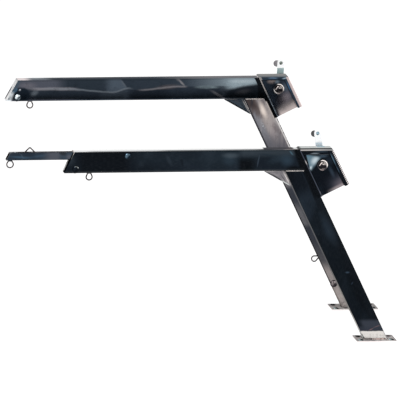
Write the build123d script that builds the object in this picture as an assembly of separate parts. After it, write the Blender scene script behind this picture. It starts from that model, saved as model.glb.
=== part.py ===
from build123d import *
import os
from math import acos, atan, cos, pi, radians, sin, tan

# A pair of boat davits of polished stainless tube: a low one with a pull-out arm extension
# and a tall one that stands behind it. Each has a leaning leg on a foot plate, a level arm
# with a rope sheave in its tip, and a hand winch in a folded housing behind the leg.
# Millimetres. X points inboard (the arms point along -X), Y points from the low davit to the
# tall one, Z is up. The origin is on the deck, under the middle of the low davit's foot plate.

# Tube, leg and foot, shared by both davits
tube_height = 80.0
tube_width = 50.0
tube_wall = 3.0
tube_corner = 6.0
lean_angle = 26.0
plate_thickness = 6.0
plate_depth = 100.0
plate_corner = 5.0
plate_chamfer = 1.0
foot_hole_radius = 6.5
foot_hole_end_inset = 18.0
foot_hole_side_inset = 17.0
gusset_reach = 72.0
gusset_drop = 60.0
gusset_nose = 6.0
gusset_thickness = 6.0

# The low davit
low_rise = 640.0
low_reach = 1170.0
low_bevel = 23.5
low_plate_length = 150.0
low_shell_rise = 2.0
low_shell_width = 113.0
low_shell_length = 198.5
low_hem_top = 21.0
low_drum_inset = 53.0
low_drum_drop = 92.5
low_crank_throw = 152.0
low_crank_angle = -6.9
low_crank_bend = 30.0
low_sheave_inset = 41.0
low_eye_inset = 95.0

# The tall davit and its place
tall_x = 22.0
tall_y = 555.0
tall_rise = 800.0
tall_reach = 1324.0
tall_bevel = 28.5
tall_plate_length = 176.0
tall_shell_rise = 4.5
tall_shell_width = 102.0
tall_shell_length = 170.3
tall_hem_top = 12.0
tall_drum_inset = 50.0
tall_drum_drop = 75.3
tall_crank_throw = 130.5
tall_crank_angle = 3.3
tall_crank_bend = 20.0
tall_sheave_inset = 42.0
tall_eye_inset = 92.0
tall_leg_eye_height = 195.5
tall_leg_bolt_height = 98.0
tall_leg_bolt_inset = 9.0
rope_pin_radius = 3.0
rope_pin_shift = 9.0
rope_pin_lift = 26.0
rope_pin_head_radius = 5.0
rope_pin_head = 2.5

# Winch housing, folded from sheet
sheet = 3.0
shell_bend = 5.0
rim_proud = 8.0
hem_depth = 7.0
hem_left = 5.0
hem_right = 18.0
hem_round = 2.5
shell_tongue = 4.0
tongue_round = 3.0
shell_lap = 14.0
lap_thickness = 2.0
cheek_step = 1.5
cheek_round = 1.2
least_bend = 1.0
window_margin_z = 9.0
window_margin_y = 6.0

# Drum and its axle bolt
axle_radius = 8.0
axle_head_radius = 13.0
axle_head = 3.5
axle_end = 2.0
washer_radius = 19.5
washer_thickness = 3.0
washer_rim = 4.0
washer_rim_width = 4.0
axle_nut_flats = 24.0
axle_nut_thickness = 12.0
nut_chamfer = 1.2
bush_wall = 2.0
bush_length = 12.0
running_fit = 0.05
end_play = 0.5
hub_radius = 14.0
core_radius = 18.0
flange_radius = 32.0
flange_thickness = 2.0
rope_hole_radius = 3.5

# Gear pair and ratchet
gear_module = 2.0
gear_teeth = 36
pinion_teeth = 12
pressure_angle = 20.0
gear_addendum = 1.5
pinion_addendum = 2.0
dedendum = 2.5
backlash = 0.3
gear_width = 6.0
gear_wall_gap = 1.5
flank_start = 0.2
pinion_overlap = 0.5
gear_hole_radius = 5.0
gear_hole_count = 6
pinion_swing = 14.0
shaft_radius = 6.0
bearing_radius = 13.0
bearing_depth = 6.0
ratchet_teeth = 12
ratchet_radius = 17.0
ratchet_depth = 3.5
ratchet_width = 4.5
pawl_distance = 33.0
pawl_direction = -12.0
pawl_sweep = 52.0
pawl_eye_radius = 7.0
pawl_nose_radius = 2.0
pawl_pin_radius = 4.0
pawl_pin_collar = 6.5
moving_gap = 0.3

# Crank
bush_radius = 9.0
bush_flange_radius = 12.0
bush_flange = 2.0
crank_bar_width = 25.0
crank_bar_thickness = 5.0
crank_hub_radius = 11.0
crank_hub_length = 6.0
crank_bend_angle = 12.0
crank_square = 9.0
crank_nut_flats = 17.0
crank_nut_thickness = 8.0
crank_thread_radius = 5.0
crank_thread_end = 2.0
grip_radius = 12.0
grip_neck_radius = 10.5
grip_length = 84.0
grip_round = 4.0
grip_pin_radius = 4.0
grip_head_radius = 6.5
grip_head = 2.5
grip_recess = 4.0

# Arm tip, eyes and cross bolts
sheave_radius = 20.0
sheave_width = 14.0
sheave_groove_radius = 5.0
sheave_groove_out = 1.0
sheave_lift = 16.5
sheave_pin_radius = 6.0
sheave_slot_gap = 2.5
spacer_radius = 10.0
dome_radius = 13.5
dome_height = 5.0
cap_flats = 19.0
cap_thickness = 9.0
cap_shoulder = 1.0
wire_radius = 2.5
foot_spread = 1.4
eye_radius = 11.0
eye_drop = 18.5
leg_eye_drop = 15.5
leg_eye_radius = 10.2
clamp_bolt_radius = 5.0
clamp_nut_flats = 17.0
clamp_nut_thickness = 8.0
bolt_end = 2.0

# Arm extension of the low davit
extension_side = 28.0
extension_wall = 2.0
extension_corner = 3.0
extension_out = 214.0
extension_bevel = 26.5
extension_overlap = 38.0
extension_travel = 130.0
lock_bolt_inset = 232.0
slot_gap = 0.4
guide_length = 24.0
guide_base = 8.0
guide_mouth_inset = 46.0
guide_bolt_inset = 10.0
tip_ring_inset = 16.0
tip_ring_radius = 12.0
tip_ring_drop = 17.0
top_eye_inset = 88.0
top_eye_span = 36.0
top_eye_height = 18.0
top_eye_bend = 5.0

# Reach of the cutting shapes beyond what they cut, far and short
beyond = 40.0
overrun = 1.0

lean = radians(lean_angle)
side = tube_width / 2
rim_y = -side - rim_proud
cheek_y = rim_y + hem_depth
cheek_face_y = cheek_y - cheek_step
inner_y = cheek_y + sheet
back_y = side
outer_y = back_y + sheet
gear_ratio_distance = gear_module * (gear_teeth + pinion_teeth) / 2
gear_y1 = back_y - end_play - gear_wall_gap
gear_y0 = gear_y1 - gear_width
drum_far_y0 = gear_y0 - flange_thickness
ratchet_y0 = inner_y + bearing_depth + end_play
ratchet_y1 = ratchet_y0 + ratchet_width
drum_near_y0 = ratchet_y1 + 2 * end_play


# Outlines are drawn in this plane: X along the arm, then Z
upright = Plane(origin=(0, 0, 0), x_dir=(1, 0, 0), z_dir=(0, -1, 0))


def polygon(points):
    # A flat face with the given corners, always facing the same way
    area = 0.0
    for (x0, z0), (x1, z1) in zip(points, points[1:] + points[:1]):
        area += x0 * z1 - x1 * z0
    ordered = points if area > 0 else points[::-1]
    return make_face(Polyline(*ordered, close=True))


def slab(outline, y0, y1):
    # An outline drawn in X and Z, given thickness from y0 to y1
    return extrude(upright.offset(-y1) * outline, amount=y1 - y0)


def rod(x, z, radius, y0, y1):
    return slab(Pos(x, z) * Circle(radius), y0, y1)


def ring(x, z, radius, bore, y0, y1):
    return slab(Pos(x, z) * (Circle(radius) - Circle(bore)), y0, y1)


def hexagon(x, z, flats, bore, y0, y1):
    # A hexagon nut along Y with its bore
    outline = RegularPolygon(flats / 2, 6, major_radius=False)
    if bore > 0:
        outline = outline - Circle(bore)
    return slab(Pos(x, z) * outline, y0, y1)


def nut(x, z, flats, bore, y0, y1, outer):
    # A hexagon nut whose corners are turned off at its outer end; outer is -1 for the end at y0
    corners = flats / 3 ** 0.5
    turned = rod(x, z, corners, y0, y1)
    end = turned.edges().sort_by(Axis.Y)[0 if outer < 0 else -1]
    return hexagon(x, z, flats, bore, y0, y1) & chamfer(end, nut_chamfer)


def dome(x, z, radius, height, y, direction):
    # A low round head whose flat side lies on the plane y; direction is -1 towards -Y
    ball = (radius ** 2 + height ** 2) / (2 * height)
    centre = y - direction * (ball - height)
    sphere = Pos(x, centre, z) * Sphere(ball)
    y0, y1 = sorted((y, y + direction * (height + overrun)))
    return sphere & rod(x, z, radius + overrun, y0, y1)


def rect_tube(height, width, wall, corner):
    outer = RectangleRounded(height, width, corner)
    inner = RectangleRounded(height - 2 * wall, width - 2 * wall, corner - wall)
    return outer - inner


def tooth_half_angle(radius, pitch_radius, teeth):
    # Half the angle that one tooth takes up at a radius, for involute flanks
    base = pitch_radius * cos(radians(pressure_angle))
    at_pitch = tan(radians(pressure_angle)) - radians(pressure_angle)
    turn = acos(min(1.0, base / radius))
    rolled = tan(turn) - turn
    return pi / (2 * teeth) - backlash / (4 * pitch_radius) + at_pitch - rolled


def gear_outline(teeth, addendum, first_angle):
    # Spur gear outline; first_angle is where the middle of one tooth points
    pitch_radius = gear_module * teeth / 2
    base = pitch_radius * cos(radians(pressure_angle))
    root = pitch_radius - dedendum
    tip = pitch_radius + addendum
    low = max(base, root + flank_start)
    radii = [root, low, (low + pitch_radius) / 2, pitch_radius, (pitch_radius + tip) / 2, tip]
    corners = []
    for tooth in range(teeth):
        middle = first_angle + 2 * pi * tooth / teeth
        for radius in radii:
            angle = middle - tooth_half_angle(max(radius, base), pitch_radius, teeth)
            corners.append((radius * cos(angle), radius * sin(angle)))
        for radius in radii[::-1]:
            angle = middle + tooth_half_angle(max(radius, base), pitch_radius, teeth)
            corners.append((radius * cos(angle), radius * sin(angle)))
    return polygon(corners)


def ratchet_outline():
    # Saw teeth: each has a straight face towards the middle and a long back
    corners = []
    for tooth in range(ratchet_teeth):
        angle = 2 * pi * tooth / ratchet_teeth
        corners.append((ratchet_radius * cos(angle), ratchet_radius * sin(angle)))
        inside = ratchet_radius - ratchet_depth
        corners.append((inside * cos(angle), inside * sin(angle)))
    return polygon(corners)


def wire_eye(radius, drop):
    # A drop-shaped eye of bent wire under the plane z = 0; both ends are cut at that plane
    foot = wire_radius * foot_spread
    turn = atan(foot / drop) + acos(radius / (foot ** 2 + drop ** 2) ** 0.5)
    x = radius * sin(turn)
    z = radius * cos(turn) - drop
    above = wire_radius * (x - foot) / -z
    start = (above * (x - foot) / -z - foot, above)
    left = Line(start, (-x, z))
    bottom = ThreePointArc((-x, z), (0, -drop - radius), (x, z))
    right = Line((x, z), (-start[0], start[1]))
    path = upright * (left + bottom + right)
    wire = sweep(Plane(origin=path @ 0, z_dir=path % 0) * Circle(wire_radius), path=path)
    room = 2 * (drop + radius + beyond)
    return wire & Pos(0, 0, -room / 2) * Box(room, room, room)


class Davit:
    # The sizes of one davit and the places that follow from them, with its foot at the origin
    def __init__(self, rise, reach, bevel, plate_length, shell_rise, shell_width, shell_length,
                 hem_top, drum_inset, drum_drop, crank_throw, crank_angle, crank_bend, sheave_inset,
                 eye_inset):
        self.rise = rise
        self.reach = reach
        self.bevel = radians(bevel)
        self.plate_length = plate_length
        self.shell_width = shell_width
        self.shell_length = shell_length
        self.hem_top = hem_top
        self.crank_throw = crank_throw
        self.crank_angle = crank_angle
        self.crank_bend = crank_bend
        self.top = rise + tube_height
        self.shell_top = self.top + shell_rise
        self.drum = self.housing_point(drum_inset, drum_drop)
        swing = radians(pinion_swing)
        self.pinion = (self.drum[0] + gear_ratio_distance * sin(swing),
                       self.drum[1] - gear_ratio_distance * cos(swing))
        self.sheave = (sheave_inset - reach, rise + sheave_lift)
        self.eye_x = eye_inset - reach

    def leg_face(self, z, offset):
        # X of a line that leans with the leg, offset square to the leg's middle line
        return offset / cos(lean) - (z - plate_thickness) * tan(lean)

    def housing_point(self, inboard, down):
        # A point given from the housing's upper corner at the leg, inboard and down the leg
        x = self.leg_face(self.shell_top, tube_height / 2)
        return (x + inboard * cos(lean) + down * sin(lean),
                self.shell_top + inboard * sin(lean) - down * cos(lean))

    def housing_outline(self, bottom, inset, top_inset=None, right_inset=None):
        # The housing's slanted outline down to the bottom, drawn in from its left, top and right
        top_inset = inset if top_inset is None else top_inset
        right_inset = inset if right_inset is None else right_inset
        top = self.shell_top - top_inset
        left = tube_height / 2 + inset
        right = tube_height / 2 + self.shell_width - right_inset
        low_left = self.housing_point(inset, bottom)
        low_right = self.housing_point(self.shell_width - right_inset, bottom)
        return polygon([(self.leg_face(top, left), top), (self.leg_face(top, right), top),
                        low_right, low_left])

    def foot_plate(self):
        plate = Pos(0, 0, plate_thickness / 2) * extrude(
            RectangleRounded(self.plate_length, plate_depth, plate_corner),
            amount=plate_thickness / 2, both=True)
        plate = chamfer(plate.faces().sort_by(Axis.Z)[-1].edges(), plate_chamfer)
        spread_x = self.plate_length - 2 * foot_hole_end_inset
        spread_y = plate_depth - 2 * foot_hole_side_inset
        holes = GridLocations(spread_x, spread_y, 2, 2) * Cylinder(foot_hole_radius, 4 * plate_thickness)
        return plate - holes

    def leg_tube(self):
        plane = Plane(origin=(0, 0, plate_thickness), x_dir=(cos(lean), 0, sin(lean)),
                      z_dir=(-sin(lean), 0, cos(lean)))
        profile = plane * rect_tube(tube_height, tube_width, tube_wall, tube_corner)
        length = self.rise / cos(lean) + tube_height
        tube = extrude(profile, amount=length) + extrude(profile, amount=-tube_height)
        height = self.rise - plate_thickness
        room = Box(4 * self.rise, 2 * tube_width, height)
        return tube & Pos(0, 0, plate_thickness + height / 2) * room

    def arm_tube(self):
        plane = Plane(origin=(-self.reach - beyond, 0, self.rise + tube_height / 2),
                      x_dir=(0, 1, 0), z_dir=(1, 0, 0))
        profile = plane * rect_tube(tube_width, tube_height, tube_wall, tube_corner)
        tube = extrude(profile, amount=self.reach + tube_height)
        low_end = (-self.reach, self.rise)
        high_end = (-self.reach + tube_height * tan(self.bevel), self.top)
        inner_high = (self.leg_face(self.top, tube_height / 2), self.top)
        inner_low = (self.leg_face(self.rise, tube_height / 2), self.rise)
        tube = tube & slab(polygon([low_end, high_end, inner_high, inner_low]), -tube_width, tube_width)
        x, z = self.sheave
        slot_length = 2 * (sheave_radius + sheave_slot_gap)
        slot_width = sheave_width + 2 * sheave_slot_gap
        slot = Pos(x, 0, self.rise) * Box(slot_length, slot_width, 2 * sheave_lift)
        return tube - slot - rod(x, z, sheave_pin_radius, -tube_width, tube_width)

    def gusset(self):
        x = self.leg_face(self.rise, -tube_height / 2)
        x_low = self.leg_face(self.rise - gusset_drop, -tube_height / 2)
        outline = polygon([(x, self.rise), (x - gusset_reach, self.rise),
                           (x - gusset_reach, self.rise - gusset_nose),
                           (x_low - gusset_nose, self.rise - gusset_drop),
                           (x_low, self.rise - gusset_drop)])
        return slab(outline, -gusset_thickness / 2, gusset_thickness / 2)

    def winch_shell(self):
        # Folded sheet: three walls and a floor, a hemmed front edge and a lap on the leg
        bottom = self.shell_length
        below = bottom + beyond
        outer = slab(self.housing_outline(bottom, 0), rim_y, outer_y)
        corners = outer.edges().filter_by(Axis.Y).sort_by(Axis.Z)[-2:]
        outer = fillet(corners, shell_bend)
        hollow = slab(self.housing_outline(below, sheet), rim_y + hem_depth, back_y)
        bends = hollow.edges().filter_by(Axis.Y).sort_by(Axis.Z)[-2:]
        hollow = fillet(bends, max(shell_bend - sheet, least_bend))
        shell = outer - hollow + self.shell_end()
        mouth = slab(self.housing_outline(below, hem_left, self.hem_top, hem_right),
                     rim_y - beyond, rim_y + hem_depth)
        shell = shell - mouth
        front = shell.faces().sort_by(Axis.Y)[0]
        shell = fillet(front.edges(), hem_round / 2)
        shell = shell + self.leg_lap()
        window = polygon([self.window_corner(-beyond, True), self.window_corner(beyond / 2, True),
                          self.window_corner(beyond / 2, False), self.window_corner(-beyond, False)])
        shell = shell - slab(window, inner_y + window_margin_y, back_y - window_margin_y)
        shell = shell - rod(*self.drum, axle_radius, back_y - overrun, outer_y + overrun)
        return shell - rod(*self.pinion, bush_radius, back_y - overrun, outer_y + overrun)

    def shell_end(self):
        # The right hem runs on below the housing and ends round
        right = self.shell_width
        upper = self.shell_length - 2 * tongue_round
        lower = self.shell_length + shell_tongue
        tongue = polygon([self.housing_point(right - hem_right, upper), self.housing_point(right, upper),
                          self.housing_point(right, lower), self.housing_point(right - hem_right, lower)])
        tongue = fillet(tongue.vertices().sort_by(Axis.Y)[:2], tongue_round)
        return slab(tongue, rim_y, rim_y + hem_depth)

    def leg_lap(self):
        # A strip of the shell that lies on the near face of the leg and the arm
        upper = tube_height / 2 - shell_lap
        lap = polygon([(self.leg_face(self.top, upper), self.top),
                       (self.leg_face(self.top, tube_height / 2 + sheet), self.top),
                       self.housing_point(sheet, self.shell_length),
                       self.housing_point(-shell_lap, self.shell_length)])
        return slab(lap, -side - lap_thickness, -side)

    def window_corner(self, offset, upper):
        # A corner of the rope window in the wall between the arm's open end and the drum
        z = self.top - window_margin_z if upper else self.rise + window_margin_z
        return (self.leg_face(z, tube_height / 2) + offset, z)

    def near_cheek(self):
        # The cover behind the hem; its middle is pressed out a little, inside the hem's opening
        bottom = self.shell_length
        cover = slab(self.housing_outline(bottom, sheet), cheek_y, inner_y)
        corners = cover.edges().filter_by(Axis.Y).sort_by(Axis.Z)[-2:]
        cover = fillet(corners, max(shell_bend - sheet, least_bend))
        step = slab(self.housing_outline(bottom, hem_left + cheek_step, self.hem_top + cheek_step,
                                         hem_right + cheek_step), cheek_y - cheek_step, cheek_y)
        rounded = step.faces().sort_by(Axis.Y)[0].edges()
        step = fillet(rounded, cheek_round)
        return cover + step - rod(*self.drum, axle_radius, cheek_y - beyond, inner_y + overrun)

    def drum_axle(self):
        x, z = self.drum
        end = cheek_face_y - washer_thickness - axle_nut_thickness - axle_end
        head = rod(x, z, axle_head_radius, outer_y, outer_y + axle_head)
        return rod(x, z, axle_radius, end, outer_y) + head

    def axle_washer(self):
        x, z = self.drum
        washer = ring(x, z, washer_radius, axle_radius, cheek_face_y - washer_thickness, cheek_face_y)
        rim = ring(x, z, washer_radius, washer_radius - washer_rim_width,
                   cheek_face_y - washer_thickness - washer_rim, cheek_face_y - washer_thickness)
        return washer + rim

    def axle_nut(self):
        near = cheek_face_y - washer_thickness - axle_nut_thickness
        far = cheek_face_y - washer_thickness
        return nut(*self.drum, axle_nut_flats, axle_radius, near, far, -1)

    def winch_drum(self):
        x, z = self.drum
        bore = axle_radius + running_fit + bush_wall
        body = rod(x, z, hub_radius, inner_y + end_play, back_y - end_play)
        body += rod(x, z, core_radius, drum_near_y0, drum_far_y0)
        body += rod(x, z, flange_radius, drum_near_y0, drum_near_y0 + flange_thickness)
        body += rod(x, z, flange_radius, drum_far_y0, gear_y0)
        hole = rod(x, z + (core_radius + flange_radius) / 2, rope_hole_radius,
                   drum_near_y0 - overrun, drum_near_y0 + flange_thickness + overrun)
        return body - hole - rod(x, z, bore, inner_y, back_y)

    def drum_bushes(self):
        x, z = self.drum
        bore = axle_radius + running_fit
        near = inner_y + end_play
        far = back_y - end_play
        return [ring(x, z, bore + bush_wall, bore, near, near + bush_length),
                ring(x, z, bore + bush_wall, bore, far - bush_length, far)]

    def drum_gear(self):
        x, z = self.drum
        to_pinion = pinion_swing - 90
        first = radians(to_pinion) + pi / gear_teeth
        outline = gear_outline(gear_teeth, gear_addendum, first) - Circle(hub_radius)
        middle = (hub_radius + gear_module * gear_teeth / 2 - dedendum) / 2
        outline = outline - PolarLocations(middle, gear_hole_count) * Circle(gear_hole_radius)
        return slab(Pos(x, z) * outline, gear_y0, gear_y1)

    def crank_shaft(self):
        x, z = self.pinion
        outline = gear_outline(pinion_teeth, pinion_addendum, radians(90 + pinion_swing))
        teeth = slab(Pos(x, z) * outline, gear_y0 - pinion_overlap, gear_y1 + pinion_overlap)
        body = rod(x, z, shaft_radius, inner_y + end_play, self.hub_y0())
        body += teeth
        square = Pos(x, z) * Rot(0, 0, -self.crank_angle) * Rectangle(crank_square, crank_square)
        body += slab(square & Pos(x, z) * Circle(shaft_radius), self.hub_y0(), self.bar_y1())
        end = self.bar_y1() + crank_nut_thickness + crank_thread_end
        return body + rod(x, z, min(crank_thread_radius, crank_square / 2), self.bar_y1(), end)

    def hub_y0(self):
        return outer_y + bush_flange + end_play

    def bar_y0(self):
        return self.hub_y0() + crank_hub_length

    def bar_y1(self):
        return self.bar_y0() + crank_bar_thickness

    def shaft_bearings(self):
        x, z = self.pinion
        bore = shaft_radius + running_fit
        near = ring(x, z, bearing_radius, bore, inner_y, inner_y + bearing_depth)
        far = ring(x, z, bush_radius, bore, back_y, outer_y)
        far += ring(x, z, bush_flange_radius, bore, outer_y, outer_y + bush_flange)
        return [near, far]

    def ratchet_wheel(self):
        outline = ratchet_outline() - Circle(shaft_radius)
        return slab(Pos(*self.pinion) * outline, ratchet_y0, ratchet_y1)

    def pawl_pivot(self):
        angle = radians(pawl_direction)
        return (self.pinion[0] + pawl_distance * cos(angle), self.pinion[1] + pawl_distance * sin(angle))

    def pawl(self):
        # The pawl lies over the tips of the saw teeth
        px, pz = self.pawl_pivot()
        angle = radians(pawl_direction + pawl_sweep)
        reach = ratchet_radius + moving_gap + pawl_nose_radius
        nx = self.pinion[0] + reach * cos(angle)
        nz = self.pinion[1] + reach * sin(angle)
        length = ((nx - px) ** 2 + (nz - pz) ** 2) ** 0.5
        ax, az = (nz - pz) / length, -(nx - px) / length
        sides = polygon([(px + ax * pawl_eye_radius, pz + az * pawl_eye_radius),
                         (nx + ax * pawl_nose_radius, nz + az * pawl_nose_radius),
                         (nx - ax * pawl_nose_radius, nz - az * pawl_nose_radius),
                         (px - ax * pawl_eye_radius, pz - az * pawl_eye_radius)])
        outline = sides + Pos(px, pz) * Circle(pawl_eye_radius) + Pos(nx, nz) * Circle(pawl_nose_radius)
        outline = outline - Pos(px, pz) * Circle(pawl_pin_radius + running_fit)
        return slab(outline, ratchet_y0, ratchet_y1)

    def pawl_pin(self):
        x, z = self.pawl_pivot()
        pin = rod(x, z, pawl_pin_radius, inner_y, ratchet_y1 + end_play)
        return pin + rod(x, z, pawl_pin_collar, inner_y, ratchet_y0 - moving_gap)

    def crank_place(self):
        return Pos(self.pinion[0], 0, self.pinion[1]) * Rot(0, self.crank_angle, 0)

    def crank_arm(self):
        # A flat bar on a round hub; below the grip it bends outwards
        lean_out = radians(crank_bend_angle)
        bend = self.crank_throw - self.crank_bend
        y0, y1 = self.bar_y0(), self.bar_y1()
        reach = self.crank_bend + crank_bar_width
        mitre = bend - crank_bar_thickness * tan(lean_out / 2)
        near_end = (bend + reach * cos(lean_out), y0 + reach * sin(lean_out))
        far_end = (near_end[0] - crank_bar_thickness * sin(lean_out),
                   near_end[1] + crank_bar_thickness * cos(lean_out))
        strip = Polyline((-crank_bar_width, y0), (bend, y0), near_end, far_end, (mitre, y1),
                         (-crank_bar_width, y1), close=True)
        edge_on = Plane(origin=(crank_bar_width, 0, 0), x_dir=(0, 0, 1), z_dir=(-1, 0, 0))
        bar = extrude(edge_on * make_face(strip), amount=2 * crank_bar_width)
        half = crank_bar_width / 2
        grip_z = bend + self.crank_bend * cos(lean_out)
        outline = Circle(half) + Pos(0, grip_z) * Circle(half)
        outline = outline + Pos(0, grip_z / 2) * Rectangle(crank_bar_width, grip_z)
        bar = bar & slab(outline, y0 - overrun, y1 + reach)
        bar = bar + rod(0, 0, crank_hub_radius, self.hub_y0(), y0)
        bore = Rectangle(crank_square, crank_square) & Circle(shaft_radius)
        bar = bar - slab(bore, self.hub_y0() - overrun, y1 + overrun)
        hole = rod(0, 0, grip_pin_radius, -overrun, crank_bar_thickness + overrun)
        return self.crank_place() * (bar - self.grip_seat() * hole)

    def grip_seat(self):
        # From the crank's own frame to the grip's: its axis is +Y, and the bar's near face y = 0
        lean_out = radians(crank_bend_angle)
        height = self.crank_throw - self.crank_bend + self.crank_bend * cos(lean_out)
        out = self.bar_y0() + self.crank_bend * sin(lean_out)
        return Pos(0, out, height) * Rot(-crank_bend_angle, 0, 0)

    def crank_nut(self):
        bore = min(crank_thread_radius, crank_square / 2)
        near = self.bar_y1()
        return nut(*self.pinion, crank_nut_flats, bore, near, near + crank_nut_thickness, 1)

    def crank_grip(self):
        # A turned handle: waisted, rounded at both ends, with a recess for the pin's cap
        start = crank_bar_thickness + moving_gap
        end = start + grip_length
        outline = Spline((grip_radius, start + grip_round), (grip_neck_radius, (start + end) / 2),
                         (grip_radius, end - grip_round))
        bow = grip_round * (1 - cos(pi / 4))
        near = ThreePointArc((grip_radius - grip_round, start), (grip_radius - bow, start + bow),
                             (grip_radius, start + grip_round))
        far = ThreePointArc((grip_radius, end - grip_round), (grip_radius - bow, end - bow),
                            (grip_radius - grip_round, end))
        bore = grip_pin_radius + running_fit
        edge = Polyline((grip_radius - grip_round, end), (bore, end), (bore, start),
                        (grip_radius - grip_round, start))
        face = make_face(outline + near + far + edge)
        grip = revolve(face, axis=Axis.Y)
        grip = grip - rod(0, 0, grip_head_radius + moving_gap, end - grip_recess, end + overrun)
        return self.crank_place() * self.grip_seat() * grip

    def grip_pin(self):
        cap0 = crank_bar_thickness + moving_gap + grip_length - grip_recess + moving_gap
        pin = rod(0, 0, grip_pin_radius, 0, cap0)
        pin += rod(0, 0, grip_head_radius, cap0, cap0 + grip_head)
        pin += dome(0, 0, grip_head_radius, grip_head, 0, -1)
        return self.crank_place() * self.grip_seat() * pin

    def tip_sheave(self):
        x, z = self.sheave
        half = sheave_width / 2
        profile = Polyline((sheave_pin_radius + running_fit, -half), (sheave_radius, -half),
                           (sheave_radius, half), (sheave_pin_radius + running_fit, half), close=True)
        face = make_face(profile) - Pos(sheave_radius + sheave_groove_out, 0) * Circle(sheave_groove_radius)
        return Pos(x, 0, z) * revolve(face, axis=Axis.Y)

    def sheave_pin(self):
        x, z = self.sheave
        far = side + cap_thickness - bolt_end
        return rod(x, z, sheave_pin_radius, -side, far) + dome(x, z, dome_radius, dome_height, -side, -1)

    def sheave_nut(self):
        # A cap nut: a hexagon with a round closed end
        x, z = self.sheave
        solid = hexagon(x, z, cap_flats, 0, side, side + cap_thickness)
        solid += dome(x, z, cap_flats / 2 - cap_shoulder, dome_height, side + cap_thickness, 1)
        return solid - rod(x, z, sheave_pin_radius, side - overrun, side + cap_thickness - bolt_end)

    def sheave_spacers(self):
        x, z = self.sheave
        inside = side - tube_wall
        gap = sheave_width / 2 + moving_gap
        return [ring(x, z, spacer_radius, sheave_pin_radius, -inside, -gap),
                ring(x, z, spacer_radius, sheave_pin_radius, gap, inside)]

    def arm_eye(self):
        return Pos(self.eye_x, 0, self.rise) * wire_eye(eye_radius, eye_drop)


low = Davit(low_rise, low_reach, low_bevel, low_plate_length, low_shell_rise, low_shell_width,
            low_shell_length, low_hem_top, low_drum_inset, low_drum_drop, low_crank_throw,
            low_crank_angle, low_crank_bend, low_sheave_inset, low_eye_inset)
tall = Davit(tall_rise, tall_reach, tall_bevel, tall_plate_length, tall_shell_rise, tall_shell_width,
             tall_shell_length, tall_hem_top, tall_drum_inset, tall_drum_drop, tall_crank_throw,
             tall_crank_angle, tall_crank_bend, tall_sheave_inset, tall_eye_inset)

# Places of the low davit's extension
extension_z1 = low.top - tube_wall - slot_gap
extension_z0 = extension_z1 - extension_side
extension_z = (extension_z0 + extension_z1) / 2
lock_x = lock_bolt_inset - low_reach
extension_tip = -low_reach - extension_out
extension_end = lock_x + extension_overlap


def extension_tube():
    length = extension_end - extension_tip + beyond
    plane = Plane(origin=(extension_tip - beyond, 0, extension_z), x_dir=(0, 1, 0), z_dir=(1, 0, 0))
    profile = plane * rect_tube(extension_side, extension_side, extension_wall, extension_corner)
    tube = extrude(profile, amount=length)
    slant = extension_side * tan(radians(extension_bevel))
    tip = polygon([(extension_tip, extension_z0), (extension_tip + slant, extension_z1),
                   (extension_end, extension_z1), (extension_end, extension_z0)])
    tube = tube & slab(tip, -tube_width, tube_width)
    radius = clamp_bolt_radius + slot_gap
    slot = Pos(lock_x - extension_travel / 2, extension_z) * SlotCenterToCenter(extension_travel, 2 * radius)
    return tube - slab(slot, -tube_width, tube_width)


def extension_ring():
    return Pos(extension_tip + tip_ring_inset, 0, extension_z0) * wire_eye(tip_ring_radius, tip_ring_drop)


def extension_eye():
    # A bent wire standing on the extension, its two feet cut flat on the tube
    half = top_eye_span / 2
    below = 2 * wire_radius
    foot = half * (top_eye_height + below) / top_eye_height
    bent = FilletPolyline((-foot, -below), (0, top_eye_height), (foot, -below), radius=top_eye_bend)
    path = upright * bent
    wire = sweep(Plane(origin=path @ 0, z_dir=path % 0) * Circle(wire_radius), path=path)
    room = 4 * (top_eye_span + top_eye_height)
    wire = wire & Pos(0, 0, room / 2) * Box(room, room, room)
    return Pos(extension_tip + top_eye_inset, 0, extension_z1) * wire


def guide_blocks():
    # Two plastic blocks, open at the top, that carry the extension inside the arm
    inside = tube_width - 2 * tube_wall
    pocket = extension_side + 2 * moving_gap
    base = extension_z0 - moving_gap - guide_base
    roof = low.top - tube_wall
    corner = tube_corner - tube_wall
    blocks = []
    for x in (guide_mouth_inset - low_reach, lock_x + clamp_bolt_radius + guide_bolt_inset):
        outline = Pos(0, (base + roof) / 2) * Rectangle(inside, roof - base)
        plane = Plane(origin=(x, 0, 0), x_dir=(0, 1, 0), z_dir=(1, 0, 0))
        block = extrude(plane * outline, amount=guide_length)
        block = chamfer(block.edges().filter_by(Axis.X).sort_by(Axis.Z)[-2:], corner)
        opening = Pos(x, 0, roof) * Box(3 * guide_length, pocket, 2 * (roof - base - guide_base))
        blocks.append(block - opening)
    return blocks


def lock_bolt():
    far = side + clamp_nut_thickness + bolt_end
    return rod(lock_x, extension_z, clamp_bolt_radius, -side, far) + dome(
        lock_x, extension_z, dome_radius, dome_height, -side, -1)


def lock_spacers():
    inside = side - tube_wall
    gap = extension_side / 2 + moving_gap
    return [ring(lock_x, extension_z, spacer_radius, clamp_bolt_radius, -inside, -gap),
            ring(lock_x, extension_z, spacer_radius, clamp_bolt_radius, gap, inside)]


def low_arm():
    return low.arm_tube() - rod(lock_x, extension_z, clamp_bolt_radius, -tube_width, tube_width)


def leg_bolt_centre():
    offset = tall_leg_bolt_inset - tube_height / 2
    return (tall.leg_face(tall_leg_bolt_height, offset), tall_leg_bolt_height)


def leg_bolt():
    x, z = leg_bolt_centre()
    far = side + clamp_nut_thickness + bolt_end
    return rod(x, z, clamp_bolt_radius, -side, far) + dome(x, z, dome_radius, dome_height, -side, -1)


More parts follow.
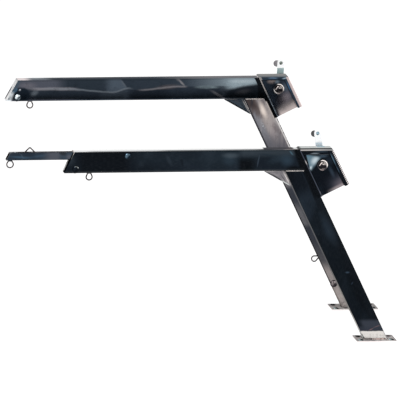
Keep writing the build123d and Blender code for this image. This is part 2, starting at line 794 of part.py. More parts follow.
def leg_eye():
    # The eye stands square on the outboard face of the leg
    x = tall.leg_face(tall_leg_eye_height, -tube_height / 2)
    eye = wire_eye(leg_eye_radius, leg_eye_drop)
    return Pos(x, 0, tall_leg_eye_height) * Rot(0, 90 - lean_angle, 0) * eye


def tall_leg():
    return tall.leg_tube() - rod(*leg_bolt_centre(), clamp_bolt_radius, -tube_width, tube_width)


def rope_pin_centre():
    return (tall.sheave[0] + rope_pin_shift, tall.sheave[1] + rope_pin_lift)


def rope_pin():
    # A cross pin over the sheave keeps the rope in its groove
    x, z = rope_pin_centre()
    pin = rod(x, z, rope_pin_radius, -side, side)
    pin += dome(x, z, rope_pin_head_radius, rope_pin_head, -side, -1)
    return pin + dome(x, z, rope_pin_head_radius, rope_pin_head, side, 1)


def tall_arm():
    return tall.arm_tube() - rod(*rope_pin_centre(), rope_pin_radius, -tube_width, tube_width)


def clamp_nut(x, z):
    return nut(x, z, clamp_nut_flats, clamp_bolt_radius, side, side + clamp_nut_thickness, 1)


def group(solids):
    return Compound(children=[solid for shape in solids for solid in shape.solids()])


tall_place = Pos(tall_x, tall_y, 0)
nodes = {}
for name, davit, place in (("low", low, Pos(0, 0, 0)), ("tall", tall, tall_place)):
    for piece in ("foot_plate", "leg_tube", "arm_tube", "gusset", "winch_shell", "near_cheek",
                  "drum_axle", "winch_drum", "drum_gear", "crank_shaft", "ratchet_wheel", "pawl",
                  "pawl_pin", "crank_arm", "crank_nut", "crank_grip", "grip_pin", "tip_sheave",
                  "sheave_pin", "arm_eye"):
        nodes[name + "_" + piece] = place * getattr(davit, piece)()
    nodes[name + "_drum_bushes"] = place * group(davit.drum_bushes())
    nodes[name + "_shaft_bearings"] = place * group(davit.shaft_bearings())
    nodes[name + "_sheave_spacers"] = place * group(davit.sheave_spacers())

nodes["low_arm_tube"] = low_arm()
nodes["tall_arm_tube"] = tall_place * tall_arm()
nodes["tall_leg_tube"] = tall_place * tall_leg()
nodes["axle_washers"] = group([low.axle_washer(), tall_place * tall.axle_washer()])
nodes["axle_nuts"] = group([low.axle_nut(), tall_place * tall.axle_nut()])
nodes["sheave_nuts"] = group([low.sheave_nut(), tall_place * tall.sheave_nut()])
nodes["clamp_nuts"] = group([clamp_nut(lock_x, extension_z), tall_place * clamp_nut(*leg_bolt_centre())])
nodes["low_extension_tube"] = extension_tube()
nodes["low_extension_ring"] = extension_ring()
nodes["low_extension_eye"] = extension_eye()
nodes["low_guide_blocks"] = group(guide_blocks())
nodes["low_lock_bolt"] = lock_bolt()
nodes["low_lock_spacers"] = group(lock_spacers())
nodes["tall_rope_pin"] = tall_place * rope_pin()
nodes["tall_leg_eye"] = tall_place * leg_eye()
nodes["tall_leg_bolt"] = tall_place * leg_bolt()

os.makedirs("parts", exist_ok=True)
for name, shape in nodes.items():
    export_step(shape, "parts/" + name + ".step")
print(len(nodes), "nodes written")
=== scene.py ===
from math import atan2, cos, degrees, hypot, radians, sin, tan

import bpy
from mathutils import Matrix, Vector


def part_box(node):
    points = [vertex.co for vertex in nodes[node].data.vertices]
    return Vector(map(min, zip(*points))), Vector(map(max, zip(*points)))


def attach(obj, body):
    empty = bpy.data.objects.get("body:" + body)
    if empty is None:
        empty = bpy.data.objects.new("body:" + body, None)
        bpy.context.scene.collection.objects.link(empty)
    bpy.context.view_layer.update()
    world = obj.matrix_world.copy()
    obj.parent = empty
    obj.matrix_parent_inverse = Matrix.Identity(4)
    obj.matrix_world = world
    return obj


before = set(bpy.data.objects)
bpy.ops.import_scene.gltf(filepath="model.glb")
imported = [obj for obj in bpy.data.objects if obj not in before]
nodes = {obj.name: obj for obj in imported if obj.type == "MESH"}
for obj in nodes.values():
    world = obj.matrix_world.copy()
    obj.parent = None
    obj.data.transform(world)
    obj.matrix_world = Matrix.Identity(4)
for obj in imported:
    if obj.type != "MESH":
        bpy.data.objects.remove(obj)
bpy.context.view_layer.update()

scene = bpy.context.scene
scene.view_settings.view_transform = "Standard"

# Sizes that the looks are drawn from, in millimetres; the lean and the bevels in degrees
LEAN = 26.0
PLATE = 6.0
HALF_HEIGHT = 40.0
HALF_WIDTH = 25.0
WALL = 3.0
LOW_BEVEL = 23.5
TALL_BEVEL = 28.5
# Where the housing's near panel lies, from the davit's middle plane
PANEL_FACE = -27.5
# Bolt holes of a foot plate, from its ends and from its middle line
HOLE_INSET = 18.0
HOLE_SIDE = 33.0
# How strongly polishing lines and finger marks show
HAZE = 0.05


class Davit:
    # Where one davit stands, and the places of its pieces, in millimetres
    def __init__(self, name, x, y):
        self.name = name
        self.x = x
        self.y = y
        low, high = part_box(name + "_arm_tube")
        self.rise = low.z * 1000
        self.top = high.z * 1000
        self.tip = low.x * 1000
        low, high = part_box(name + "_drum_axle")
        self.axle = ((low.x + high.x) * 500, (low.z + high.z) * 500)
        low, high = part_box(name + "_winch_shell")
        self.shell_top = high.z * 1000
        low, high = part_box(name + "_crank_arm")
        self.crank_top = high.z * 1000

    def leg_x(self, z, offset):
        # X of a line along the leg, offset square to its middle line
        return self.x + offset / cos(radians(LEAN)) - (z - PLATE) * tan(radians(LEAN))


LOW = Davit("low", 0.0, 0.0)
TALL = Davit("tall", 22.0, 555.0)


# Camera, at the photograph's angle: a long lens from the near side, a little above
def place_camera():
    azimuth, elevation, roll = radians(10.01), radians(11.5), radians(1.32)
    distance, focus = 43.067, 11783.91
    sensor, picture = 36.0, 400.0
    target = Vector((-0.6625, 0.0, 0.5308))
    forward = Vector((sin(azimuth) * cos(elevation), cos(azimuth) * cos(elevation), -sin(elevation)))
    level = Vector((cos(azimuth), -sin(azimuth), 0.0))
    raised = level.cross(forward)
    right = level * cos(roll) + raised * sin(roll)
    up = raised * cos(roll) - level * sin(roll)
    data = bpy.data.cameras.new("camera")
    data.sensor_width = sensor
    data.lens = focus * sensor / picture
    data.clip_start = 1.0
    data.clip_end = 200.0
    camera = bpy.data.objects.new("camera", data)
    scene.collection.objects.link(camera)
    camera.matrix_world = Matrix.Translation(target - forward * distance) @ Matrix(
        (right, up, -forward)).transposed().to_4x4()
    scene.camera = camera


def tone(red, green, blue):
    # A colour given as it shows on screen, 0 to 255, made linear
    linear = []
    for part in (red, green, blue):
        part = part / 255
        linear.append(part / 12.92 if part <= 0.04045 else ((part + 0.055) / 1.055) ** 2.4)
    return (*linear, 1.0)


class Value:
    # A socket in a material. Maths on it adds the Math nodes.
    def __init__(self, finish, socket):
        self.finish = finish
        self.socket = socket

    def maths(self, operation, first, second=0.0):
        return self.finish.node("ShaderNodeMath", {"operation": operation}, {0: first, 1: second})

    def __add__(self, other):
        return self.maths("ADD", self, other)

    def __radd__(self, other):
        return self.maths("ADD", other, self)

    def __sub__(self, other):
        return self.maths("SUBTRACT", self, other)

    def __rsub__(self, other):
        return self.maths("SUBTRACT", other, self)

    def __mul__(self, other):
        return self.maths("MULTIPLY", self, other)

    def __rmul__(self, other):
        return self.maths("MULTIPLY", other, self)

    def __abs__(self):
        return self.maths("ABSOLUTE", self)

    def most(self, other):
        return self.maths("MAXIMUM", self, other)

    def step(self, low, high):
        # 0 below low, 1 above high, smooth between
        return self.finish.node("ShaderNodeMapRange", {"interpolation_type": "SMOOTHSTEP"},
                                {"Value": self, "From Min": low, "From Max": high})

    def fade(self, low, high):
        # 1 below low, 0 above high, smooth between
        return self.finish.node("ShaderNodeMapRange", {"interpolation_type": "SMOOTHSTEP"},
                                {"Value": self, "From Min": low, "From Max": high,
                                 "To Min": 1.0, "To Max": 0.0})


class Finish:
    # One material with its shader, and the methods that build its nodes; lengths in millimetres
    def __init__(self, name, base, metallic, wander=0.0):
        self.material = bpy.data.materials.new(name)
        self.material.use_nodes = True
        self.tree = self.material.node_tree
        self.shader = self.tree.nodes["Principled BSDF"]
        self.shader.inputs["Metallic"].default_value = metallic
        self.place = Value(self, self.tree.nodes.new("ShaderNodeTexCoord").outputs["Object"])
        self.x, self.y, self.z = self.split(self.vector("SCALE", self.place, Scale=1000.0))
        self.spot = self.vector("MULTIPLY", self.place, (1000.0, 0.0, 1000.0))
        if wander:
            # What is drawn on the finish wavers by up to this much
            drift = self.node("ShaderNodeTexNoise", {}, {
                "Vector": self.place, "Scale": 16.0, "Detail": 4.0}, 1)
            drift = self.vector("SUBTRACT", drift, (0.5, 0.5, 0.5))
            drift = self.vector("MULTIPLY", drift, (2 * wander, 0.0, 2 * wander))
            self.spot = self.vector("ADD", self.spot, drift)
        self.colour = self.mix(0.0, tone(*base), tone(*base))

    def node(self, kind, settings, sockets, output=0):
        made = self.tree.nodes.new(kind)
        for key, value in settings.items():
            setattr(made, key, value)
        for key, value in sockets.items():
            if isinstance(value, Value):
                self.tree.links.new(value.socket, made.inputs[key])
            else:
                made.inputs[key].default_value = value
        return Value(self, made.outputs[output])

    def vector(self, operation, first, second=(0.0, 0.0, 0.0), output=0, **sockets):
        return self.node("ShaderNodeVectorMath", {"operation": operation},
                         {0: first, 1: second, **sockets}, output)

    def split(self, vector):
        made = self.node("ShaderNodeSeparateXYZ", {}, {0: vector})
        return [Value(self, socket) for socket in made.socket.node.outputs]

    def mix(self, share, first, second):
        # A colour between two others
        return self.node("ShaderNodeMix", {"data_type": "RGBA"}, {0: share, 6: first, 7: second}, 2)

    def tint(self, share, *colour):
        # Lays a colour over the finish
        self.colour = self.mix(share, self.colour, tone(*colour))

    def stretched(self, turn, scale):
        # Places for a texture that is drawn out along a turned direction
        return self.node("ShaderNodeMapping", {}, {
            "Vector": self.place, "Rotation": (0.0, radians(turn), 0.0), "Scale": scale})

    def noise(self, scale, detail, roughness=0.5, at=None, bend=0.0):
        return self.node("ShaderNodeTexNoise", {}, {
            "Vector": at or self.place, "Scale": scale, "Detail": detail,
            "Roughness": roughness, "Distortion": bend})

    def feed(self, **sockets):
        for name, value in sockets.items():
            self.tree.links.new(value.socket, self.shader.inputs[name.replace("_", " ")])

    def bump(self, height, strength, distance):
        self.feed(Normal=self.node("ShaderNodeBump", {}, {
            "Height": height, "Strength": strength, "Distance": distance}))

    def oval(self, x, z, long, short, turn=0.0, soft=0.6):
        # A soft oval seen from the side; turn is its long axis, from +X towards +Z
        inside = self.node("ShaderNodeMapping", {"vector_type": "TEXTURE"}, {
            "Vector": self.spot, "Location": (x, 0.0, z), "Rotation": (0.0, -radians(turn), 0.0),
            "Scale": (long, 1.0, short)})
        return self.vector("LENGTH", inside, output=1).fade(1.0 - soft, 1.0)

    def crease(self, x0, z0, x1, z1, width, soft=0.8):
        # A thin line that tapers to both its ends, which lie a little beyond its two points
        reach = hypot(x1 - x0, z1 - z0) * 0.56
        turn = degrees(atan2(z1 - z0, x1 - x0))
        return self.oval((x0 + x1) / 2, (z0 + z1) / 2, reach, width / 2, turn, soft)

    def left_of(self, x0, z0, x1, z1, soft):
        # 1 on the left of the line from the first point to the second, seen from the near side
        length = hypot(x1 - x0, z1 - z0)
        normal = ((z0 - z1) / length, 0.0, (x1 - x0) / length)
        line = normal[0] * x0 + normal[2] * z0
        reached = self.vector("DOT_PRODUCT", self.spot, normal, output=1)
        return reached.step(line - soft / 2, line + soft / 2)


# Floor, world and lamps
FLOOR_LIFT = 0.50
SKY_LIGHT = 0.72


def largest(tree, sockets):
    # The largest of some values
    total = sockets[0]
    for socket in sockets[1:]:
        larger = tree.nodes.new("ShaderNodeMath")
        larger.operation = "MAXIMUM"
        tree.links.new(total, larger.inputs[0])
        tree.links.new(socket, larger.inputs[1])
        total = larger.outputs[0]
    return total


def seen_rays(tree):
    # 1 for rays of the camera, mirrors and glass
    path = tree.nodes.new("ShaderNodeLightPath")
    kinds = ("Is Camera Ray", "Is Glossy Ray", "Is Transmission Ray")
    return largest(tree, [path.outputs[kind] for kind in kinds])


def white_floor():
    # Matt white, and lifted where it is seen, so that it meets the white behind it
    bpy.ops.mesh.primitive_plane_add(size=14, location=(-0.6, 0.3, 0))
    floor = bpy.context.object
    floor.name = "floor"
    material = bpy.data.materials.new("white_floor")
    material.use_nodes = True
    tree = material.node_tree
    tree.nodes.clear()
    matt = tree.nodes.new("ShaderNodeBsdfDiffuse")
    matt.inputs["Color"].default_value = (0.8, 0.8, 0.8, 1)
    glow = tree.nodes.new("ShaderNodeEmission")
    lift = tree.nodes.new("ShaderNodeMath")
    lift.operation = "MULTIPLY"
    lift.inputs[1].default_value = FLOOR_LIFT
    tree.links.new(seen_rays(tree), lift.inputs[0])
    tree.links.new(lift.outputs[0], glow.inputs["Strength"])
    both = tree.nodes.new("ShaderNodeAddShader")
    tree.links.new(matt.outputs[0], both.inputs[0])
    tree.links.new(glow.outputs[0], both.inputs[1])
    out = tree.nodes.new("ShaderNodeOutputMaterial")
    tree.links.new(both.outputs[0], out.inputs["Surface"])
    floor.data.materials.append(material)


def white_world():
    # White where it is seen, a little dimmer as a light
    world = bpy.data.worlds.new("studio")
    scene.world = world
    world.use_nodes = True
    tree = world.node_tree
    background = tree.nodes["Background"]
    background.inputs["Color"].default_value = (1, 1, 1, 1)
    level = tree.nodes.new("ShaderNodeMapRange")
    level.inputs["To Min"].default_value = SKY_LIGHT
    level.inputs["To Max"].default_value = 1.0
    tree.links.new(seen_rays(tree), level.inputs["Value"])
    tree.links.new(level.outputs[0], background.inputs["Strength"])


def lamp(name, place, aim, size, power):
    data = bpy.data.lights.new(name, "AREA")
    data.shape = "RECTANGLE"
    data.size, data.size_y = size
    data.energy = power
    made = bpy.data.objects.new(name, data)
    scene.collection.objects.link(made)
    way = Vector(aim) - Vector(place)
    made.location = place
    made.rotation_euler = way.to_track_quat("-Z", "Y").to_euler()


place_camera()
white_floor()
white_world()
lamp("key_lamp", (-2.4, -3.2, 3.0), (-0.5, 0.2, 0.5), (1.6, 1.2), 60)
lamp("fill_lamp", (2.2, -2.4, 1.8), (-0.4, 0.2, 0.4), (1.4, 1.4), 20)


# Mirror-polished stainless steel, with its reflections painted as the photograph shows them:
# nearly black, with blue-grey clouds, bright creases of light and a faint haze from polishing
def polished(name, dark, cloud, scale=7.0, low=0.42, high=0.75, stretch=(0.4, 1, 1), turn=0.0,
             wander=5.0, metallic=1.0):
    finish = Finish(name, dark, metallic, wander=wander)
    billow = finish.noise(scale, 4.0, 0.55, finish.stretched(turn, stretch), 0.4)
    finish.tint(billow.step(low, high), *cloud)
    return finish


def wear(finish, turn=0.0, brushed=(0.04, 1, 1), satin=None):
    # Hair-fine polishing lines, finger marks and a faint waviness of the sheet. Where satin is
    # 1, the face is dull, so that seen at a flat angle it keeps its own tone.
    lines = finish.noise(1600.0, 2.0, 0.5, finish.stretched(turn, brushed))
    marks = finish.noise(38.0, 5.0, 0.6)
    waves = finish.noise(15.0, 1.0, 0.4)
    finish.tint(lines.step(0.45, 0.75) * HAZE, 120, 126, 134)
    finish.tint(marks.step(0.62, 0.8) * HAZE, 96, 104, 112)
    roughness = 0.09 + 0.06 * lines + 0.14 * marks.step(0.5, 0.8)
    if satin:
        finish.feed(Metallic=1.0 - satin * 0.95)
        finish.shader.inputs["Specular IOR Level"].default_value = 0.0
        roughness = roughness + satin * 0.35
    finish.feed(Base_Color=finish.colour, Roughness=roughness)
    finish.bump(waves * 0.8 + lines * 0.05, 0.10, 0.002)
    return finish.material


def tube_mouth(finish, davit, bevel):
    # The inside of the tube, the edge of its far wall at the open end, and its whole cut end
    across = finish.y - davit.y
    above = finish.z - davit.rise
    clear_width = HALF_WIDTH - WALL
    clear_height = HALF_HEIGHT - WALL
    inside = abs(across).fade(clear_width + 0.1, clear_width + 0.6)
    inside = inside * abs(above - HALF_HEIGHT).fade(clear_height + 0.1, clear_height + 0.6)
    slant = finish.x - above * tan(radians(bevel))
    edge = slant.fade(davit.tip + 3.0, davit.tip + 4.0)
    edge = edge * across.step(clear_width - 3.0, clear_width - 1.0)
    return inside, edge, slant.fade(davit.tip + 0.8, davit.tip + 1.2)


def low_arm_finish():
    f = polished("low_arm_polish", (15, 20, 26), (28, 36, 45))
    # Painted reflections, from the tip inboard: a dim cloud, near black, then slate that pales upwards
    f.tint(f.x.step(-1128, -1098) * f.x.fade(-960, -900) * 0.85, 10, 13, 17)
    f.tint(f.oval(-1160, 690, 40, 30, soft=0.9) * 0.6, 46, 54, 62)
    slate = f.x.step(-950, -880)
    upwards = f.z.step(645, 705)
    f.tint(slate * (0.2 + 0.7 * upwards), 22, 29, 36)
    f.tint(f.x.step(-700, -640) * (0.4 + 0.3 * upwards), 28, 37, 45)
    f.tint(f.noise(20.0, 5.0, 0.6).step(0.48, 0.66) * slate * 0.35, 36, 44, 52)
    f.tint(f.crease(-800, 712, -770, 660, 22) * 0.5, 40, 48, 56)
    f.tint(f.crease(-743, 698, -731, 660, 15) * 0.6, 14, 18, 24)
    f.tint(f.oval(-562, 682, 36, 28, 0, 0.9) * 0.6, 38, 50, 60)
    f.tint(f.oval(-556, 700, 46, 15, 0, 0.9) * 0.55, 68, 78, 86)
    # Painted reflections: a dark pool under a pale band, closed on the right by a thin arc
    f.tint(f.x.step(-536, -514) * f.x.fade(-490, -436) * f.z.fade(672, 710) * 0.95, 8, 11, 14)
    f.tint(f.x.step(-470, -440) * 0.7, 17, 23, 30)
    f.tint(f.x.step(-535, -505) * f.z.step(686, 710) * 0.8, 46, 54, 61)
    f.tint(f.crease(-448, 708, -458, 650, 7) * 0.5, 58, 70, 82)
    # Painted reflections: teal clouds and a glint, then painted black up to the housing
    f.tint(f.oval(-372, 690, 70, 22, 20, 0.95) * 0.5, 40, 52, 62)
    f.tint(f.oval(-346, 680, 36, 32, 0, 0.95) * 0.8, 40, 54, 66)
    f.tint(f.oval(-420, 700, 60, 6, -8, 0.9) * 0.4, 22, 34, 44)
    f.tint(f.crease(-340, 718, -324, 698, 8) * 0.7, 66, 92, 106)
    f.tint((1.0 - f.left_of(-300, 655, -324, 716, 10)) * 0.95, 7, 9, 12)
    f.tint(f.oval(-320, 646, 42, 18, 0, 0.7) * 0.9, 7, 9, 12)
    # A faint painted highlight along the bottom edges of the sides
    f.tint(f.z.fade(643, 650) * abs(f.y).step(24, 24.6) * 0.25, 80, 84, 88)
    # The top is painted with its reflection: white, darker inboard and along its near edge
    top = f.z.step(LOW.top - 1.4, LOW.top - 0.4)
    near = top * f.y.fade(-18.0, -6.0)
    f.tint(top, 255, 255, 255)
    f.tint(near * 0.9, 214, 216, 218)
    f.tint(near * f.x.step(-1110, -1050) * 0.9, 158, 160, 162)
    f.tint(near * f.x.step(-840, -780) * 0.9, 82, 86, 88)
    f.tint(near * f.x.step(-470, -430) * 0.9, 18, 22, 26)
    # The far davit's leg, mirrored in the top
    f.tint(top * f.x.step(-436, -429) * 0.95, 46, 46, 54)
    f.tint(top * f.x.step(-350, -336) * 0.9, 92, 87, 89)
    f.tint(top * f.x.step(-428, -380) * f.y.fade(-21, -13) * 0.8, 92, 92, 98)
    f.tint(top * f.x.step(-366, -350) * f.y.fade(-21, -13) * 0.9, 142, 136, 135)
    f.tint(top * f.x.step(-326, -316) * f.y.step(-16, -8) * 0.95, 245, 246, 246)
    # Painted shade inside the tube and on its cut end, with painted highlights on the upper part of the
    # inside and the cut, and along the far wall's edge
    inside, edge, cut = tube_mouth(f, LOW, LOW_BEVEL)
    f.tint(inside, 12, 15, 19)
    f.tint(cut, 24, 31, 38)
    f.tint(cut * f.z.step(690, 696), 104, 108, 104)
    f.tint(inside * f.z.step(684, 692), 84, 86, 88)
    f.tint(cut * f.z.step(706, 712), 222, 216, 213)
    f.tint(edge, 236, 236, 236)
    return wear(f, satin=top.most(inside).most(cut))


def tall_arm_finish():
    f = polished("tall_arm_polish", (40, 48, 57), (58, 67, 77), 6.0)
    # Painted reflections: a bright crease wanders along the arm and parts its paler upper half from the
    # lower
    reflection_crease = 846.0 - 15.0 * f.x.step(-1085, -900) + 15.0 * f.x.step(-905, -846)
    reflection_crease = reflection_crease - 8.0 * f.x.step(-846, -815) + 12.0 * f.x.step(-815, -650)
    over = f.z - reflection_crease + (f.noise(24.0, 2.0) - 0.5) * 5.0
    upper = over.step(-3, 3)
    lower = over.fade(-3, 3)
    right_of_fan = 1.0 - f.left_of(-849, 843, -878, 885, 10)
    f.tint(lower * 0.8, 32, 39, 48)
    f.tint(lower * f.z.fade(806, 816) * f.x.fade(-1080, -1010) * 0.8, 62, 66, 76)
    f.tint(upper * f.x.fade(-1130, -1050) * 0.8, 74, 77, 87)
    f.tint(upper * f.x.step(-1130, -1060) * f.x.fade(-960, -910) * 0.8, 34, 42, 50)
    f.tint(upper * (1.0 - right_of_fan) * f.x.step(-945, -900) * 0.75, 70, 80, 91)
    f.tint(lower * f.x.step(-965, -935) * f.x.fade(-862, -835) * 0.7, 52, 60, 69)
    f.tint(lower * f.x.step(-850, -820) * f.x.fade(-720, -680) * 0.7, 23, 29, 37)
    f.tint(upper * right_of_fan * f.x.fade(-690, -650) * 0.7, 36, 44, 53)
    f.tint(f.crease(-878, 880, -848, 842, 10) * 0.5, 88, 94, 102)
    f.tint(f.oval(-700, 850, 62, 13, 5, 0.95) * 0.6, 84, 78, 80)
    f.tint(f.crease(-674, 890, -655, 868, 14) * 0.5, 104, 104, 108)
    f.tint(f.crease(-663, 882, -634, 848, 10) * 0.75, 122, 120, 123)
    f.tint(f.oval(-1222, 860, 46, 18, 0, 0.9) * 0.7, 96, 94, 102)
    f.tint(f.oval(-1196, 832, 22, 14, 30, 0.95) * 0.6, 104, 112, 120)
    f.tint(abs(over).fade(1.0, 9.0) * f.x.step(-1230, -1180) * f.x.fade(-1080, -1010) * 0.7, 126, 124, 130)
    f.tint(abs(over).fade(0.4, 5.5) * f.x.fade(-860, -820) * f.x.step(-1190, -1120) * 0.6, 106, 113, 121)
    f.tint(abs(over).fade(0.6, 5.5) * f.x.step(-822, -780) * f.x.fade(-640, -620) * 0.65, 112, 110, 114)
    f.tint(f.oval(-553, 846, 60, 9, 0, 0.9) * 0.85, 120, 134, 140)
    f.tint(upper * f.x.step(-640, -450) * 0.9, 108, 120, 128)
    patch = f.left_of(-470, 836, -355, 860, 16)
    f.tint(patch * f.x.step(-510, -440), 132, 146, 154)
    f.tint(f.oval(-420, 868, 70, 10, 0, 0.9) * 0.6, 158, 170, 176)
    f.tint(f.oval(-489, 829, 26, 20, 0, 0.7) * 0.8, 44, 50, 58)
    f.tint((1.0 - patch) * f.x.step(-500, -455) * 0.9, 21, 26, 32)
    f.tint(f.oval(-415, 828, 44, 14, 10, 0.95) * 0.5, 62, 62, 66)
    f.tint(lower * f.x.step(-600, -560) * f.x.fade(-545, -530) * 0.5, 30, 38, 47)
    f.tint(f.crease(-545, 836, -474, 798, 16) * 0.8, 104, 104, 110)
    f.tint(f.x.step(-366, -356) * 0.95, 9, 11, 14)
    # The tip, in painted light: a dark round painted shade about the sheave's pin, and a nearly white
    # point of painted reflection
    mottle = f.noise(70.0, 4.0, 0.6)
    above = f.z - TALL.rise
    f.tint(f.oval(-1246, 824, 37, 35, 0, 0.3), 20, 28, 37)
    f.tint(f.oval(-1268, 870, 20, 14, 50, 0.8) * 0.8, 46, 52, 60)
    f.tint(f.oval(-1272, 846, 20, 15, 60, 0.8) * mottle.step(0.42, 0.58), 78, 112, 138)
    f.tint((f.x - above * 0.30).fade(-1290, -1279) * f.z.fade(826, 842) * 0.9, 222, 228, 232)
    f.tint((f.x - above * 0.45).fade(-1290, -1279) * f.z.step(830, 842) * 0.7, 60, 74, 86)
    # The top is painted with its reflection: darker along its far and near edges, paler in the middle and
    # towards the tip
    top = f.z.step(TALL.top - 1.4, TALL.top - 0.4)
    near = top * f.y.fade(538, 552)
    f.tint(top, 80, 85, 92)
    f.tint(top * f.y.step(564, 574) * 0.8, 24, 28, 34)
    f.tint(near * 0.9, 36, 44, 52)
    f.tint(top * f.x.step(-760, -500), 124, 123, 126)
    f.tint(near * f.x.step(-760, -460) * 0.9, 112, 115, 120)
    f.tint(top * f.x.fade(-1180, -1120), 140, 146, 152)
    f.tint(near * f.x.fade(-1180, -1120) * 0.9, 92, 98, 107)
    f.tint(top * f.x.fade(-1240, -1200), 236, 226, 226)
    # The tube's inside painted white as lit, and a painted dark line along the lower part of the far
    # wall's cut edge
    inside, edge = tube_mouth(f, TALL, TALL_BEVEL)[:2]
    f.tint(inside, 255, 255, 255)
    f.tint(edge * f.z.fade(838, 858), 92, 92, 96)
    return wear(f, satin=top.most(inside))


def leg_frame(finish, davit):
    # Places measured across the leg and along it, from the middle of its foot
    c, s = cos(radians(LEAN)), sin(radians(LEAN))
    x, z = finish.x - davit.x, finish.z - PLATE
    return x * c + z * s, z * c - x * s


def low_leg_finish():
    f = polished("low_leg_polish", (13, 18, 23), (30, 38, 47), 8.0, turn=-LEAN, stretch=(1, 1, 0.35))
    across, along = leg_frame(f, LOW)
    # Painted reflections: a darker strip on the right, a blue-grey cloud, dark patches and small bluish
    # streaks; painted shade under the housing
    f.tint(across.step(10, 16) * along.fade(620, 660) * 0.55, 13, 16, 20)
    f.tint(along.step(590, 650) * across.fade(10, 18) * 0.8, 9, 12, 17)
    f.tint(f.oval(-185, 420, 95, 26, 116, 0.9) * 0.5, 36, 46, 56)
    f.tint(f.oval(-100, 235, 120, 22, 116, 0.9) * 0.8, 9, 13, 17)
    f.tint(f.oval(-60, 150, 70, 20, 116, 0.8) * 0.75, 9, 12, 16)
    f.tint(f.oval(-112, 258, 13, 5, 0, 0.9) * 0.7, 52, 66, 80)
    f.tint(f.oval(-92, 218, 9, 4, 60, 0.9) * 0.5, 44, 54, 68)
    # Low down it mirrors the deck: slate, a dull pink streak and a pale band
    f.tint(f.z.fade(70, 86) * across.step(-34, -12) * 0.9, 52, 56, 65)
    f.tint(f.z.fade(48, 60) * 0.7, 46, 50, 59)
    f.tint(f.crease(-32, 36, -8, 50, 6) * 0.8, 112, 90, 92)
    f.tint(f.crease(-14, 48, 18, 60, 6) * 0.8, 96, 80, 84)
    pale = f.z + (f.noise(60.0, 3.0) - 0.5) * 5.0
    f.tint(pale.fade(35, 38.5) * f.y.fade(-23.5, -22.0), 208, 204, 200)
    f.tint(f.z.fade(22, 30) * f.noise(120.0, 3.0).step(0.45, 0.6) * 0.35, 150, 146, 144)
    # Painted shade on the right under the housing; the outboard face painted paler as it catches the
    # light, palest near the deck
    f.tint(along.step(560, 600) * across.step(11, 20) * 0.9, 7, 9, 12)
    out = across.fade(-39.6, -38.8)
    f.tint(out, 104, 104, 106)
    f.tint(out * f.z.fade(180, 300) * 0.8, 160, 156, 152)
    f.tint(out * f.z.fade(60, 120), 222, 220, 217)
    f.tint(out * f.z.step(566, 590) * 0.8, 140, 138, 139)
    return wear(f, LEAN, (1, 1, 0.04), satin=out)


def tall_leg_finish():
    f = polished("tall_leg_polish", (118, 114, 118), (142, 137, 140), 10.0,
                 turn=-LEAN, stretch=(1, 1, 0.3))
    across = leg_frame(f, TALL)[0]
    # Painted reflections: below the arm pale streaks and brown strands, lower down slate, near the deck
    # pale again
    reflected_strands = f.noise(90.0, 3.0, 0.6, f.stretched(-LEAN, (1, 1, 0.1)))
    glint_flecks = f.noise(170.0, 2.0, 0.5).step(0.6, 0.68)
    f.tint(reflected_strands.step(0.42, 0.66) * 0.3, 92, 88, 94)
    f.tint(f.oval(-330, 738, 90, 40, 114, 0.95) * 0.6, 190, 178, 172)
    f.tint(f.oval(-300, 676, 56, 20, 116, 0.95) * 0.6, 158, 149, 150)
    f.tint(f.noise(26.0, 5.0, 0.7).step(0.46, 0.62) * f.z.step(560, 640) * 0.45, 88, 78, 80)
    f.tint(reflected_strands.step(0.46, 0.58) * f.z.step(560, 640) * 0.35, 180, 172, 170)
    f.tint(across.step(18, 34) * f.z.step(660, 740) * 0.5, 206, 202, 199)
    f.tint(across.fade(-24, -8) * f.z.fade(735, 765) * f.z.step(590, 660) * 0.5, 132, 136, 145)
    f.tint(f.oval(-338, 700, 46, 10, 116, 0.9) * glint_flecks * 0.8, 196, 204, 210)
    f.tint(f.z.fade(600, 690) * 0.85, 84, 84, 92)
    f.tint(across.fade(-20, 0) * f.z.step(748, 778) * 0.95, 46, 48, 54)
    f.tint(reflected_strands.step(0.4, 0.56) * across.fade(-10, 2) * f.z.step(715, 750) * 0.7, 74, 62, 60)
    f.tint(f.oval(-339, 757, 46, 16, 114, 0.95) * 0.9, 240, 226, 216)
    f.tint(f.z.fade(500, 570) * 0.9, 54, 58, 66)
    f.tint(across.fade(-30, -12) * f.z.step(310, 330) * f.z.fade(370, 420) * 0.35, 150, 148, 150)
    f.tint(across.fade(-30, -12) * f.z.step(455, 475) * f.z.fade(505, 520) * 0.4, 150, 146, 148)
    f.tint(f.z.fade(190, 280) * 0.6, 92, 90, 93)
    f.tint(f.z.fade(140, 190) * 0.9, 158, 150, 148)
    f.tint(f.z.fade(60, 110) * 0.8, 172, 163, 160)
    f.tint(reflected_strands.step(0.5, 0.7) * f.z.fade(140, 190) * 0.35, 96, 88, 88)
    f.tint(f.z.fade(30, 44) * f.noise(120.0, 2.0).step(0.45, 0.6) * 0.5, 84, 78, 78)
    # The outboard face painted in shade: darkest up high, paler near the deck
    out = across.fade(-39.6, -38.8)
    f.tint(out, 22, 25, 30)
    f.tint(out * f.z.step(600, 680) * 0.8, 40, 40, 46)
    f.tint(out * f.z.step(700, 770), 12, 15, 20)
    f.tint(out * f.z.fade(140, 260), 76, 72, 71)
    f.tint(out * f.z.fade(60, 110), 140, 130, 124)
    # A painted highlight and a broken painted dark line along the inboard corner; painted shade along the
    # outboard edge up high
    dashes = f.noise(150.0, 2.0).step(0.45, 0.55)
    f.tint(across.step(31.5, 33.5) * f.y.fade(533, 536) * 0.8, 222, 218, 216)
    f.tint(across.step(36.2, 37.2) * dashes * 0.95, 34, 34, 40)
    f.tint(f.z.step(560, 600) * across.fade(-38.6, -35.0) * 0.8, 52, 52, 58)
    return wear(f, LEAN, (1, 1, 0.04), satin=out.most(0.95))


